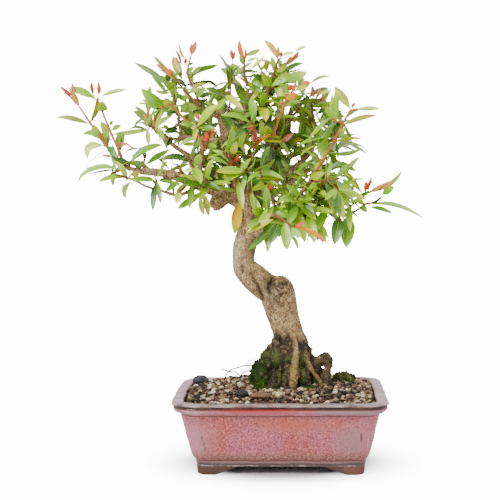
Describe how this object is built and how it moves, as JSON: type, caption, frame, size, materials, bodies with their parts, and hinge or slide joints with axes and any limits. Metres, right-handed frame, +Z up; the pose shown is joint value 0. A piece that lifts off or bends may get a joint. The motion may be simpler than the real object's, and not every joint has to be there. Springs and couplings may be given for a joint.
{
  "type": "pomegranate bonsai",
  "caption": "Pomegranate bonsai with a leaning trunk, surface roots and wide leafy crown, planted in a footed rectangular glazed pot with gritty soil and moss",
  "frame": {"origin": "Under the middle of the whole plant's box, on the surface that the pot's feet stand on", "axes": "+Z up the tree, X along the pot's long side with +X to the right of the front, and the front faces -Y"},
  "size_m": [0.4254, 0.2624, 0.5087],
  "materials": {
    "glaze": "glossy mottled pink glaze that breaks to brown on its edges, unglazed brown feet",
    "bark": "rough grey-tan bark with dark pits and creases",
    "soil": "loose cream pumice, brown bark and dark grit",
    "moss": "short tufted green moss",
    "leaf": "waxy fresh green leaves with coral and orange young tips",
    "old_leaf": "yellow autumn leaf",
    "dark_stone": "matt dark slate",
    "bark_chip": "weathered bark chip",
    "dry_stalk": "thin dry stalk",
    "screen_plastic": "black moulded mesh",
    "screen_wire": "soft annealed wire"
  },
  "bodies": {
    "root": {"pot": "glaze", "drain_screen_left": "screen_plastic", "drain_screen_right": "screen_plastic", "screen_wire_left": "screen_wire", "screen_wire_right": "screen_wire", "soil_bed": "soil", "wood": "bark", "moss_left": "moss", "moss_right": "moss", "moss_front": "moss", "flat_stone": "dark_stone", "bark_chip_dark": "bark_chip", "bark_chip_long": "bark_chip", "bark_chip_pale": "bark_chip", "dry_stalk_long": "dry_stalk", "dry_stalk_short": "dry_stalk", "dry_stalk_leaning": "dry_stalk", "old_yellow_leaf": "old_leaf", "shoot_far_left_tall": "leaf", "shoot_far_left_pink": "leaf", "shoot_far_left_low": "leaf", "shoot_left_tip": "leaf", "shoot_left_ridge": "leaf", "shoot_left_bud": "leaf", "shoot_left_under": "leaf", "shoot_left_whorl": "leaf", "shoot_left_upright": "leaf", "shoot_left_tan": "leaf", "shoot_top_left": "leaf", "shoot_left_pink": "leaf", "shoot_left_coral": "leaf", "shoot_left_front": "leaf", "shoot_leader_top": "leaf", "shoot_top_orange": "leaf", "shoot_centre_top": "leaf", "shoot_centre_rise": "leaf", "shoot_mid_coral": "leaf", "shoot_mid_left": "leaf", "shoot_orange_tip": "leaf", "shoot_thin": "leaf", "shoot_right_back": "leaf", "shoot_long_right": "leaf", "shoot_right_fan": "leaf", "shoot_right_end": "leaf", "shoot_right_tip": "leaf", "shoot_right_hang": "leaf", "shoot_front_low": "leaf", "shoot_front_left_low": "leaf", "shoot_right_stub": "leaf", "shoot_back_left_end": "leaf", "shoot_back_left_mid": "leaf", "shoot_back_right_end": "leaf", "shoot_back_right_mid": "leaf", "shoot_back_top": "leaf", "shoot_back_right_low": "leaf", "shoot_back_leader": "leaf", "shoot_high_right": "leaf"}
  },
  "joints": []
}
